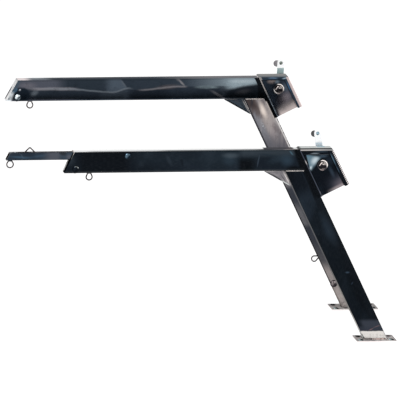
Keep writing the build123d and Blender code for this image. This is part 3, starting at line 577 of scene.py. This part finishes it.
def housing_finish(davit, dark, cloud, marks):
    # The folded housing and its cover; the hem, the lap on the leg and the cover differ
    f = polished(davit.name + "_housing_polish", dark, cloud, 9.0, 0.5, 0.8,
                 stretch=(1, 1, 1), wander=3.0)
    f.level = f.y - davit.y
    f.across, f.along = leg_frame(f, davit)
    f.cover = f.level.step(PANEL_FACE - 4.0, PANEL_FACE - 2.5)
    f.hem = f.level.fade(PANEL_FACE - 4.0, PANEL_FACE - 2.5)
    # The lap on the leg, painted black as a dark reflection
    f.tint(f.across.fade(40.0, 40.5) * 0.9, 8, 10, 13)
    top = f.z.step(davit.shell_top - 1.0, davit.shell_top - 0.3)
    return wear(f, brushed=(1, 1, 0.1), satin=marks(f, top))


def low_housing_painted_light(f, top):
    # A wedge of light on the cover: teal at its upper left, brightest right of its middle
    wedge = (1.0 - f.left_of(-260, 641, -277, 701, 4)) * (1.0 - f.left_of(-277, 701, -226, 690, 12))
    wedge = wedge * f.left_of(-260, 640, -229, 682, 16) * f.cover
    f.tint(wedge * 0.85, 100, 124, 137)
    f.tint(wedge * f.oval(-243, 679, 27, 20, 50, 0.95) * 0.9, 180, 192, 198)
    f.tint(wedge * f.oval(-259, 650, 15, 9, 60, 0.9) * 0.9, 178, 191, 197)
    f.tint(wedge * f.oval(-270, 697, 18, 9, 0, 0.9) * 0.6, 66, 100, 118)
    # Painted reflections on the cover: blue clouds and paler tones towards its lower edge, and a painted
    # highlight along a line near its top
    f.tint(f.oval(-216, 694, 26, 10, 0, 0.9) * f.cover * 0.6, 60, 76, 90)
    f.tint(f.oval(-180, 634, 34, 11, 116, 0.95) * f.cover * 0.5, 52, 64, 78)
    f.tint(f.along.fade(586, 650) * f.across.step(60, 134) * f.cover * 0.7, 62, 66, 78)
    f.tint(f.along.fade(584, 622) * f.across.step(84, 134) * f.cover * 0.8, 96, 88, 94)
    f.tint(f.along.fade(584, 594) * f.across.step(60, 110) * f.cover * 0.7, 148, 138, 140)
    upper_line = abs(f.z - 700.5).fade(0.8, 2.4) * f.x.step(-282, -270) * f.x.fade(-205, -185)
    f.tint(upper_line * 0.45, 126, 136, 146)
    # The hem in painted light: streaks of reflected teal, a black inner edge of painted shade, a pale
    # broken outer one of painted highlight, and a pale painted top edge
    f.tint(f.crease(-190, 708, -164, 656, 9) * f.hem * 0.7, 84, 110, 128)
    f.tint(f.crease(-168, 664, -150, 628, 8) * f.hem * 0.6, 58, 74, 90)
    f.tint(f.crease(-266, 705, -226, 706, 6) * f.hem * 0.7, 128, 138, 146)
    f.tint(f.oval(-222, 712, 40, 5, 0, 0.9) * f.hem * 0.5, 54, 68, 80)
    f.tint(abs(f.across - 134.2).fade(1.0, 2.6) * 0.8, 6, 8, 11)
    dashes = f.along.maths("PINGPONG", f.along - f.across * 0.6, 3.6).step(1.2, 2.4)
    f.tint(f.across.step(145.5, 146.5) * f.hem * 0.9, 24, 28, 34)
    f.tint(f.across.step(146.5, 148.0) * f.hem * dashes * 0.95, 236, 228, 226)
    f.tint(f.hem * f.z.step(715.5, 717.5) * 0.85, 178, 174, 172)
    f.tint(f.hem * f.z.step(715.5, 717.5) * f.x.step(-240, -190) * 0.6, 118, 122, 126)
    # The lip painted dark, with pale painted glints
    lip = f.hem * f.across.fade(43.0, 44.6)
    f.tint(lip * 0.95, 58, 63, 74)
    f.tint(lip * f.oval(-274, 674, 14, 8, 116, 0.8), 196, 190, 187)
    f.tint(lip * f.oval(-216, 562, 14, 8, 116, 0.8), 206, 200, 198)
    # The top painted pale as lit from above, darker along its near edge and at its outboard end, with a
    # teal painted reflection on its far half under the crank
    f.tint(top, 208, 211, 210)
    f.tint(top * f.level.fade(-18, -6), 66, 68, 70)
    f.tint(top * f.x.fade(-300, -290) * 0.8, 70, 70, 72)
    f.tint(top * f.x.step(-232, -228) * f.x.fade(-204, -200) * f.level.step(0, 8), 168, 190, 198)
    return top


def tall_housing_painted_light(f, top):
    # The cover, painted with reflections: brown and slate clouds, and a pale lower edge
    f.tint(f.oval(-311, 866, 24, 13, 0, 0.9) * f.cover * 0.85, 130, 119, 117)
    f.tint(f.oval(-291, 865, 13, 12, 0, 0.9) * f.cover * 0.85, 90, 102, 112)
    f.tint(f.oval(-302, 860, 9, 4, 90, 0.9) * f.cover * 0.8, 42, 46, 54)
    f.tint(f.oval(-258, 842, 30, 15, 116, 0.95) * f.cover * 0.7, 72, 82, 94)
    f.tint(f.oval(-262, 800, 48, 32, 40, 0.95) * f.cover * 0.9, 112, 105, 111)
    f.tint(f.oval(-229, 790, 17, 11, 0, 0.9) * f.cover * 0.8, 24, 26, 32)
    low_edge = f.along + (f.noise(30.0, 3.0) - 0.5) * 14.0
    pale = low_edge.fade(782, 832) * f.across.step(44, 60) * f.cover
    f.tint(pale * 0.95, 208, 194, 191)
    # The hem, painted with reflections: streaks of blue, and a pale band of painted highlight along its
    # inboard side
    f.tint(f.hem * 0.8, 40, 52, 64)
    f.tint(f.crease(-330, 880, -284, 880, 9) * f.hem * 0.9, 84, 106, 128)
    f.tint(f.oval(-264, 879, 13, 4, 10, 0.9) * f.hem * 0.9, 140, 160, 174)
    f.tint(f.oval(-286, 877, 10, 6, 0, 0.9) * f.hem * 0.8, 22, 34, 46)
    f.tint(f.crease(-258, 868, -238, 826, 9) * f.hem * 0.8, 56, 88, 120)
    band = f.across + (f.noise(90.0, 2.0) - 0.5) * 2.0
    f.tint(band.step(131.0, 133.0) * f.level.fade(-27, -24) * 0.95, 186, 170, 168)
    f.tint(band.step(138.5, 140.5) * f.level.fade(-27, -24) * 0.8, 240, 226, 223)
    # The lip painted pale, darker lower down with a broken painted highlight, and a pale painted corner at
    # its top
    lip = f.hem * f.across.fade(43.5, 45.5)
    f.tint(lip, 146, 141, 139)
    f.tint(lip * f.along.fade(860, 900), 24, 30, 38)
    broken = 0.35 + 0.65 * f.noise(160.0, 2.0).step(0.42, 0.55)
    f.tint(lip * abs(f.across - 42.6).fade(0.8, 1.8) * f.along.fade(860, 900) * broken, 184, 194, 204)
    f.tint(f.across.fade(48.0, 50.0) * f.along.step(925, 940) * f.hem * 0.9, 136, 132, 131)
    # The top painted pale as lit, darker along its near edge
    f.tint(top, 150, 150, 149)
    f.tint(top * f.level.fade(-20, -4) * 0.7, 96, 104, 112)
    # The lap's edge is painted as pale as the leg beside it, as a painted reflection
    lap = f.across.fade(29.0, 31.0) * f.z.fade(788, 794)
    f.tint(lap, 184, 175, 170)
    return top.most(lap).most(pale)


def fitting(name, dark, light, roughness=(0.12, 0.3), scale=40.0):
    # Bright fittings: a mottled tone between two colours, with fine tool marks
    f = Finish(name, dark, 1.0)
    mottle = f.noise(scale, 4.0, 0.6)
    marks = f.noise(700.0, 2.0)
    f.tint(mottle.step(0.35, 0.68), *light)
    low, high = roughness
    f.feed(Base_Color=f.colour, Roughness=low + (high - low) * (mottle * 0.6 + marks * 0.4))
    f.bump(marks, 0.10, 0.0006)
    return f


def about_axles(f):
    # Distance from the nearer drum axle, and the place from it across and up
    far = f.y.step(200, 300)
    x = f.x - (LOW.axle[0] + far * (TALL.axle[0] - LOW.axle[0]))
    z = f.z - (LOW.axle[1] + far * (TALL.axle[1] - LOW.axle[1]))
    flat = f.node("ShaderNodeCombineXYZ", {}, {0: x, 2: z})
    return f.vector("LENGTH", flat, output=1), x, z


def washer_finish():
    f = fitting("washer_steel", (62, 60, 64), (112, 106, 106), scale=110.0)
    far, x, z = about_axles(f)
    # Painted light on the washers: a bright crescent at the upper right, painted shade on the left, a
    # painted highlight at the far washer's lower left and a pink painted glint at the bottom; the middle
    # painted dark as shade in the recess about the nut
    f.tint((x + z).step(6, 18), 236, 229, 225)
    f.tint((x - z).fade(-24, -16) * (x + z).fade(4, 12) * 0.85, 26, 26, 30)
    f.tint(x.fade(-16, -8) * z.fade(2, 8) * 0.8, 34, 36, 42)
    f.tint((x + z).fade(-22, -16) * f.y.step(200, 300) * 0.9, 226, 220, 216)
    f.tint(abs(x + 2.0).fade(5, 10) * z.fade(-17, -14) * 0.7, 158, 144, 142)
    f.tint(far.fade(15.0, 15.8), 12, 12, 14)
    f.feed(Base_Color=f.colour)
    return f.material


def nut_finish():
    f = fitting("nut_steel", (16, 15, 18), (36, 34, 38), scale=150.0)
    far, x, z = about_axles(f)
    # Painted highlights on the nut's facets and on the upper part of the bolt's end
    facet = far.step(8.5, 9.5) * far.fade(13.2, 13.8)
    f.tint(facet * (z - x).step(10, 13) * 0.95, 232, 220, 216)
    f.tint(facet * (z + x).step(12, 15) * 0.8, 214, 204, 198)
    f.tint(facet * z.fade(-11, -8) * x.step(-6, -2) * 0.5, 150, 142, 140)
    f.tint(far.fade(7.6, 8.2) * z.step(2, 5) * x.step(-5, 1) * 0.9, 206, 198, 195)
    f.feed(Base_Color=f.colour)
    return f.material


def gusset_finish(davit, dark, light):
    f = polished(davit.name + "_gusset_polish", dark, light, 24.0, 0.35, 0.7,
                 stretch=(1, 1, 1), metallic=0.3)
    edge = davit.leg_x(davit.rise, -HALF_HEIGHT)
    low = davit.leg_x(davit.rise - 60.0, -HALF_HEIGHT)
    # Painted highlights along its edges at the leg and at the arm, a painted dark line beside the first,
    # and a painted reflection cloud
    f.tint(f.crease(edge - 8, davit.rise, low - 5, davit.rise - 58, 7) * 0.85, 214, 208, 206)
    f.tint(f.crease(edge - 18, davit.rise - 8, low - 12, davit.rise - 58, 5) * 0.7, 30, 28, 34)
    f.tint(f.oval(edge - 26, davit.rise - 12, 18, 8, -30, 0.9) * 0.5, 92, 90, 98)
    f.tint(f.crease(edge - 84, davit.rise - 3, edge - 4, davit.rise - 3, 5, 0.6) * 0.75, 202, 197, 196)
    # A painted dark line of shade along its free lower edge; on the low gusset a painted highlight along
    # the lower part of it
    box_low, box_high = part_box(davit.name + "_gusset")
    start = (box_low.x * 1000 - 4, davit.rise + 1)
    end = (box_high.x * 1000 - 2, box_low.z * 1000 - 1)
    f.tint(f.crease(*start, *end, 9, 0.6), 34, 36, 42)
    if davit is LOW:
        middle = (start[0] * 0.4 + end[0] * 0.6, start[1] * 0.4 + end[1] * 0.6)
        f.tint(f.crease(*middle, *end, 8, 0.6), 196, 200, 198)
    return wear(f)


def plate_finish(davit, base, light, back_right):
    # Foot plates: grey, with painted shade about the bolt holes; the front holes catch the light as a
    # painted highlight
    f = polished(davit.name + "_foot_plate_polish", base, light, 50.0, 0.36, 0.62,
                 stretch=(1, 1, 1), wander=2.0)
    low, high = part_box(davit.name + "_foot_plate")
    f.tint(f.noise(120.0, 3.0).step(0.55, 0.66) * 0.5, 92, 86, 87)
    # The plate's edges below its top painted nearly white as lit
    f.tint(f.z.fade(4.5, 5.4) * 0.9, 246, 240, 239)
    # No painted shade runs over the plate's near edge
    on_top = (f.y - davit.y).step(-47.0, -45.0)
    for x in (low.x * 1000 + HOLE_INSET, high.x * 1000 - HOLE_INSET):
        for side in (-1, 1):
            y = f.y - (davit.y + side * HOLE_SIDE)
            flat = f.node("ShaderNodeCombineXYZ", {}, {0: f.x - x, 1: y * 0.5})
            near = f.vector("LENGTH", flat, output=1)
            if side > 0 and x > 0.0:
                f.tint(near.fade(8.0, 11.0) * 0.8, *back_right)
            else:
                f.tint(near.fade(8.0, 11.0) * on_top * 0.95, 16, 16, 19)
            if side < 0:
                glint = abs(f.x - x + 4.0).fade(3.0, 6.0) * abs(y).fade(9.0, 13.0)
                f.tint(glint * on_top, 206, 226, 228)
    return wear(f, satin=f.z.step(5.2, 5.8))


def crank_finish(davit, white_down, low_tone):
    # Zinc plate: painted nearly white above, as lit where the bar faces the sky, bluer below the bend
    f = Finish(davit.name + "_crank_zinc", (253, 253, 254), 0.2)
    spangle = f.node("ShaderNodeTexVoronoi", {"feature": "F1"}, {"Vector": f.place, "Scale": 160.0}, 1)
    cloud = f.noise(22.0, 3.0)
    f.tint(cloud.step(0.4, 0.75), 247, 249, 251)
    bend = davit.crank_top - white_down
    f.tint(f.z.fade(bend - 3.0, bend), *low_tone)
    f.colour = f.mix(0.03, f.colour, spangle)
    f.feed(Base_Color=f.colour, Roughness=0.24 + 0.2 * cloud)
    f.bump(f.noise(400.0, 2.0), 0.08, 0.0005)
    return f.material


def moulded(name, black, grey, shine=0.5):
    # Moulded plastic with a fine sand-blast grain and rubbed high spots
    f = Finish(name, black, 0.0)
    grain = f.noise(1500.0, 2.0, 0.6)
    rub = f.noise(45.0, 4.0, 0.6)
    f.tint(rub.step(0.5, 0.75), *grey)
    f.shader.inputs["Specular IOR Level"].default_value = shine
    f.feed(Base_Color=f.colour, Roughness=0.38 + 0.22 * rub)
    f.bump(grain, 0.25, 0.0004)
    return f.material


def weld_finish(name, dark, light, heat, scale=240.0):
    # Weld metal: ripples with straw and blue heat colour
    f = Finish(name, dark, 0.4)
    ripple = f.noise(scale, 3.0, 0.6)
    f.tint(ripple.step(0.45, 0.55), *light)
    f.tint(f.noise(26.0, 3.0).step(0.5, 0.75) * 0.4, *heat)
    f.feed(Base_Color=f.colour, Roughness=0.22 + 0.25 * ripple)
    f.bump(ripple, 0.3, 0.0006)
    return f.material


def head_finish(name, node, rim, face, glint, spread=6.0, arc=None):
    # Domed bolt heads: a painted dark rim, and a painted highlight on the upper left of the dome
    f = fitting(name, rim, face, scale=90.0)
    low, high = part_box(node)
    across = f.x - (low.x + high.x) * 500
    up = f.z - (low.z + high.z) * 500
    flat = f.node("ShaderNodeCombineXYZ", {}, {0: across, 2: up})
    far = f.vector("LENGTH", flat, output=1)
    f.tint((up - across).step(-spread, spread) * far.fade(8.0, 11.0), *glint)
    f.tint(far.step(9.5, 11.5) * 0.9, *rim)
    # Where given, an arc of painted highlight on the upper right of the rim
    if arc:
        f.tint(abs(far - 9.6).fade(0.6, 2.0) * up.step(0, 4) * across.step(-5, -1), *arc)
    f.feed(Base_Color=f.colour)
    return f.material


def extension_finish():
    f = polished("extension_polish", (33, 42, 52), (52, 62, 73), 14.0)
    # Painted reflections: blue clouds and a streak, a grey band, a dark patch and a paler spot
    f.tint(f.oval(-1330, 700, 60, 7, -3, 0.95) * 0.7, 52, 74, 92)
    f.tint(f.oval(-1262, 703, 44, 8, 5, 0.95) * 0.6, 50, 68, 84)
    f.tint(f.x.step(-1256, -1215) * f.x.fade(-1198, -1178) * 0.8, 74, 76, 84)
    f.tint(f.crease(-1334, 716, -1318, 692, 8) * 0.5, 62, 76, 88)
    f.tint(f.oval(-1176, 714, 22, 12, -20, 0.7) * 0.9, 38, 41, 46)
    f.tint(f.oval(-1152, 700, 14, 14, 40, 0.9) * 0.8, 76, 78, 86)
    return wear(f)


def dress(material, *names):
    for name in names:
        mesh = nodes[name].data
        mesh.materials.clear()
        mesh.materials.append(material)


def smooth(names, angle):
    # Round faces look round: the shading is smooth up to the given angle
    bpy.ops.object.select_all(action="DESELECT")
    for name in names:
        nodes[name].select_set(True)
        bpy.context.view_layer.objects.active = nodes[name]
    bpy.ops.object.shade_smooth_by_angle(angle=radians(angle))
    bpy.ops.object.select_all(action="DESELECT")


dress(low_arm_finish(), "low_arm_tube")
dress(tall_arm_finish(), "tall_arm_tube")
dress(low_leg_finish(), "low_leg_tube")
dress(tall_leg_finish(), "tall_leg_tube")
dress(housing_finish(LOW, (10, 14, 20), (26, 35, 45), low_housing_painted_light),
      "low_winch_shell", "low_near_cheek")
dress(housing_finish(TALL, (30, 37, 47), (52, 59, 70), tall_housing_painted_light),
      "tall_winch_shell", "tall_near_cheek")
dress(gusset_finish(LOW, (108, 105, 111), (146, 141, 144)), "low_gusset")
dress(gusset_finish(TALL, (62, 74, 86), (82, 92, 103)), "tall_gusset")
dress(plate_finish(LOW, (138, 131, 131), (190, 185, 184), (112, 106, 107)), "low_foot_plate")
dress(plate_finish(TALL, (148, 143, 142), (192, 188, 186), (16, 16, 19)), "tall_foot_plate")
dress(extension_finish(), "low_extension_tube")
wire = fitting("eye_wire_steel", (26, 26, 29), (112, 106, 106), scale=120.0).material
dress(wire, "low_arm_eye", "tall_arm_eye", "tall_leg_eye", "low_extension_ring", "low_extension_eye")
dress(washer_finish(), "axle_washers")
dress(nut_finish(), "axle_nuts", "low_drum_axle", "tall_drum_axle")
plain_nut = fitting("plain_nut_steel", (70, 68, 72), (196, 190, 188), scale=90.0).material
dress(plain_nut, "sheave_nuts", "clamp_nuts")
dress(head_finish("low_sheave_pin_head", "low_sheave_pin", (13, 17, 22), (18, 23, 29),
                  (24, 30, 37), arc=(106, 110, 110)), "low_sheave_pin")
dress(head_finish("lock_bolt_head", "low_lock_bolt", (14, 20, 27), (30, 42, 54),
                  (84, 104, 118)), "low_lock_bolt")
dress(head_finish("leg_bolt_head", "tall_leg_bolt", (36, 34, 38), (84, 78, 80),
                  (128, 120, 120)), "tall_leg_bolt")
dress(head_finish("tall_sheave_pin_head", "tall_sheave_pin", (20, 28, 36), (112, 122, 130),
                  (226, 236, 240)), "tall_sheave_pin")
dress(head_finish("rope_pin_head", "tall_rope_pin", (24, 32, 38), (60, 70, 76),
                  (140, 142, 148), 2.0), "tall_rope_pin")
dress(crank_finish(LOW, 44.0, (206, 219, 227)), "low_crank_arm")
dress(crank_finish(TALL, 29.0, (155, 176, 177)), "tall_crank_arm")
plated = fitting("zinc_plate", (168, 176, 182), (214, 220, 224), (0.25, 0.45), 60.0).material
for part in ("winch_drum", "drum_gear", "crank_shaft", "ratchet_wheel", "pawl", "pawl_pin", "crank_nut"):
    dress(plated, "low_" + part, "tall_" + part)
dress(fitting("low_grip_pin_zinc", (92, 118, 130), (150, 172, 182), scale=90.0).material, "low_grip_pin")
dress(fitting("tall_grip_pin_zinc", (56, 64, 62), (132, 140, 134), scale=120.0).material, "tall_grip_pin")
dress(moulded("black_grip", (46, 47, 51), (76, 78, 82), 0.15), "low_crank_grip")
dress(moulded("grey_grip", (104, 99, 105), (150, 146, 150), 0.3), "tall_crank_grip")
nylon = moulded("black_nylon", (22, 22, 23), (44, 44, 46))
dress(nylon, "low_tip_sheave", "tall_tip_sheave", "low_guide_blocks")
bronze = fitting("bearing_bronze", (128, 92, 54), (176, 134, 84), (0.3, 0.5), 80.0).material
dress(bronze, "low_drum_bushes", "tall_drum_bushes", "low_shaft_bearings", "tall_shaft_bearings")
dress(fitting("spacer_steel", (120, 124, 130), (190, 194, 198)).material,
      "low_sheave_spacers", "tall_sheave_spacers", "low_lock_spacers")

pale_weld = weld_finish("pale_weld", (142, 138, 137), (222, 216, 212), (176, 158, 146))
dark_weld = weld_finish("dark_weld", (14, 14, 16), (50, 48, 50), (66, 56, 50))
low_foot_weld = weld_finish("low_foot_weld", (16, 13, 14), (255, 232, 226), (214, 134, 118), 95.0)

# Rings of a weld run: the first one's share of the radius, and how much the others grow by
FIRST_RING = 0.6
SWELL = 1.55
NECK = 0.84
LAST_RING = 0.62
# Radii of the weld runs, and the spacing of the rings along the gussets
SEAM = 2.2
FOOT_SIDE = 2.0
FOOT_END = 1.8
GUSSET_SEAM = 1.4
EYE_SEAM = 3.6
FINE = 2.0


def bead(name, start, end, radius, metal, pitch=2.6, body="stands"):
    # A weld run: rings pulled out one by one along the seam, wide and narrow in turn
    start, end = Vector(start) / 1000, Vector(end) / 1000
    way = end - start
    steps = max(4, int(way.length * 1000 / pitch))
    bpy.ops.object.select_all(action="DESELECT")
    bpy.ops.mesh.primitive_circle_add(
        vertices=8, radius=radius * FIRST_RING / 1000, fill_type="NGON", location=start,
        rotation=way.to_track_quat("Z", "Y").to_euler())
    piece = bpy.context.object
    piece.name = name
    bpy.ops.object.transform_apply(location=True, rotation=True, scale=True)
    bpy.ops.object.mode_set(mode="EDIT")
    bpy.ops.mesh.select_all(action="SELECT")
    for step in range(steps):
        if step == 0:
            grow = SWELL
        elif step == steps - 1:
            grow = LAST_RING
        else:
            grow = NECK if step % 2 else 1 / NECK
        middle = start + way * ((step + 1) / steps)
        bpy.ops.mesh.extrude_region_move(TRANSFORM_OT_translate={"value": way / steps})
        bpy.ops.transform.resize(value=(grow, grow, grow), center_override=middle)
    bpy.ops.mesh.select_all(action="SELECT")
    bpy.ops.mesh.normals_make_consistent(inside=False)
    bpy.ops.object.mode_set(mode="OBJECT")
    bpy.ops.object.shade_smooth()
    piece.data.materials.append(metal)
    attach(piece, body)


def weld_davit(davit, foot_metal, housing_metal):
    n, y, z = davit.name, davit.y, davit.rise
    out_x, in_x = davit.leg_x(z, -HALF_HEIGHT), davit.leg_x(z, HALF_HEIGHT)
    foot_out, foot_in = davit.leg_x(PLATE, -HALF_HEIGHT), davit.leg_x(PLATE, HALF_HEIGHT)
    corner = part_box(n + "_gusset")[0] * 1000
    for sign, word in ((-1, "near"), (1, "far")):
        # Under the arm; on the near side the run stops short of the housing's lap
        edge = y + sign * (HALF_WIDTH - 1.2)
        start, end = (out_x + 3, edge, z), (in_x - (18 if sign < 0 else 3), edge, z)
        bead(n + "_arm_weld_" + word, start, end, SEAM, pale_weld)
        edge = y + sign * (HALF_WIDTH + 0.4)
        start, end = (foot_out + 5, edge, PLATE + 0.6), (foot_in - 5, edge, PLATE + 0.6)
        bead(n + "_foot_weld_" + word, start, end, FOOT_SIDE, foot_metal)
        edge = y + sign * 3.8
        start, end = (corner.x + 4, edge, z - 0.6), (out_x - 4, edge, z - 0.6)
        bead(n + "_gusset_weld_top_" + word, start, end, GUSSET_SEAM, pale_weld, FINE)
        start = (davit.leg_x(z - 5, -HALF_HEIGHT) - 0.6, edge, z - 5)
        end = (davit.leg_x(corner.z + 3, -HALF_HEIGHT) - 0.6, edge, corner.z + 3)
        bead(n + "_gusset_weld_leg_" + word, start, end, GUSSET_SEAM, pale_weld, FINE)
    for x, word in ((foot_out - 0.8, "out"), (foot_in + 0.8, "in")):
        start, end = (x, y - HALF_WIDTH + 5, PLATE + 0.4), (x, y + HALF_WIDTH - 5, PLATE + 0.4)
        bead(n + "_foot_weld_" + word, start, end, FOOT_END, dark_weld)
    # The housing's top sheet is welded across the arm's top
    x, above = davit.leg_x(davit.top, HALF_HEIGHT) - 0.8, davit.top + 0.4
    start, end = (x, y - HALF_WIDTH - 1, above), (x, y + HALF_WIDTH - 5, above)
    bead(n + "_housing_weld", start, end, SEAM, housing_metal)


def weld_eye(node, under, body="stands"):
    # The two feet of a wire eye are closed by one short weld under the tube
    low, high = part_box(node)
    x, y, z = (low.x + high.x) * 500, (low.y + high.y) * 500, under - 3.4
    reach, pitch = 5.2, 1.6
    bead(node + "_weld", (x - reach, y, z), (x + reach, y, z), EYE_SEAM, dark_weld, pitch, body)


weld_davit(LOW, low_foot_weld, dark_weld)
weld_davit(TALL, dark_weld, pale_weld)
weld_eye("low_arm_eye", LOW.rise)
weld_eye("tall_arm_eye", TALL.rise)
weld_eye("low_extension_ring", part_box("low_extension_tube")[0].z * 1000, "low_extension")
smooth(list(nodes), 32.0)
